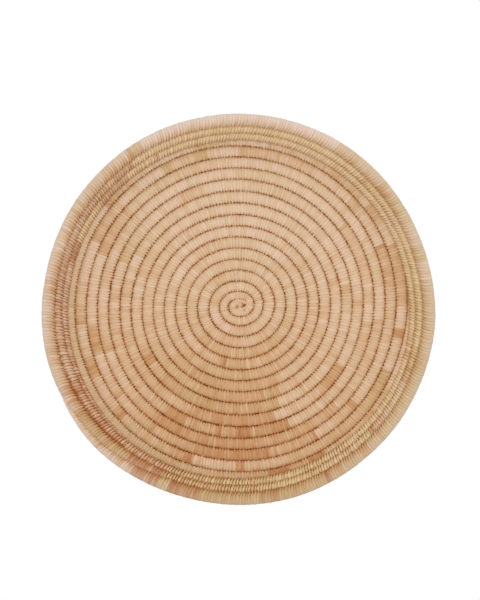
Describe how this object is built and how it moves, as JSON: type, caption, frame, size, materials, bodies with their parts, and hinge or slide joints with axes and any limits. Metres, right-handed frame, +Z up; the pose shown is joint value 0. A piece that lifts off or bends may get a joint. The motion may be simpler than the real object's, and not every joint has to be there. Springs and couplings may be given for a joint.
{
  "type": "coiled palm leaf wall disk",
  "caption": "Shallow round wall tray of coiled palm leaf: a flat spiral floor and a sloping wall wound the other way, hung with its hollow side facing out.",
  "frame": {"origin": "On the flat back of the start knot, at the middle of the floor's spiral, in the plane that lies against the wall.", "axes": "+Y into the wall and along the disk's own axis, +Z up as it hangs, +X to the right as seen from the front, so the hollow side faces -Y."},
  "size_m": [0.3982, 0.0408, 0.3972],
  "materials": {
    "floor_leaf": "matt dried palm leaf, pale tan to rust",
    "wall_leaf": "matt dried palm leaf, tan to brown",
    "rim_leaf": "matt dried palm leaf, pale on its crest",
    "knot_leaf": "matt dried palm leaf, rust brown",
    "ribs": "rough split leaf ribs"
  },
  "bodies": {
    "root": {"centre_knot": "knot_leaf", "floor_bundle": "ribs", "floor_wrap_01": "floor_leaf", "floor_wrap_02": "floor_leaf", "floor_wrap_03": "floor_leaf", "floor_wrap_04": "floor_leaf", "floor_wrap_05": "floor_leaf", "floor_wrap_06": "floor_leaf", "floor_wrap_07": "floor_leaf", "floor_wrap_08": "floor_leaf", "floor_wrap_09": "floor_leaf", "floor_wrap_10": "floor_leaf", "floor_wrap_11": "floor_leaf", "floor_wrap_12": "floor_leaf", "floor_wrap_13": "floor_leaf", "floor_wrap_14": "floor_leaf", "floor_wrap_15": "floor_leaf", "floor_wrap_16": "floor_leaf", "floor_wrap_17": "floor_leaf", "floor_wrap_18": "floor_leaf", "floor_wrap_19": "floor_leaf", "floor_wrap_20": "floor_leaf", "floor_wrap_21": "floor_leaf", "floor_wrap_22": "floor_leaf", "floor_wrap_23": "floor_leaf", "floor_wrap_24": "floor_leaf", "floor_wrap_25": "floor_leaf", "floor_wrap_26": "floor_leaf", "floor_wrap_27": "floor_leaf", "floor_wrap_28": "floor_leaf", "floor_wrap_29": "floor_leaf", "floor_wrap_30": "floor_leaf", "rim_tail_wrap": "rim_leaf", "rim_wrap_01": "rim_leaf", "rim_wrap_02": "rim_leaf", "rim_wrap_03": "rim_leaf", "rim_wrap_04": "rim_leaf", "rim_wrap_05": "rim_leaf", "rim_wrap_06": "rim_leaf", "wall_bundle": "ribs", "wall_wrap_01": "wall_leaf", "wall_wrap_02": "wall_leaf", "wall_wrap_03": "wall_leaf", "wall_wrap_04": "wall_leaf", "wall_wrap_05": "wall_leaf", "wall_wrap_06": "wall_leaf", "wall_wrap_07": "wall_leaf", "wall_wrap_08": "wall_leaf", "wall_wrap_09": "wall_leaf", "wall_wrap_10": "wall_leaf", "wall_wrap_11": "wall_leaf", "wall_wrap_12": "wall_leaf"}
  },
  "joints": []
}
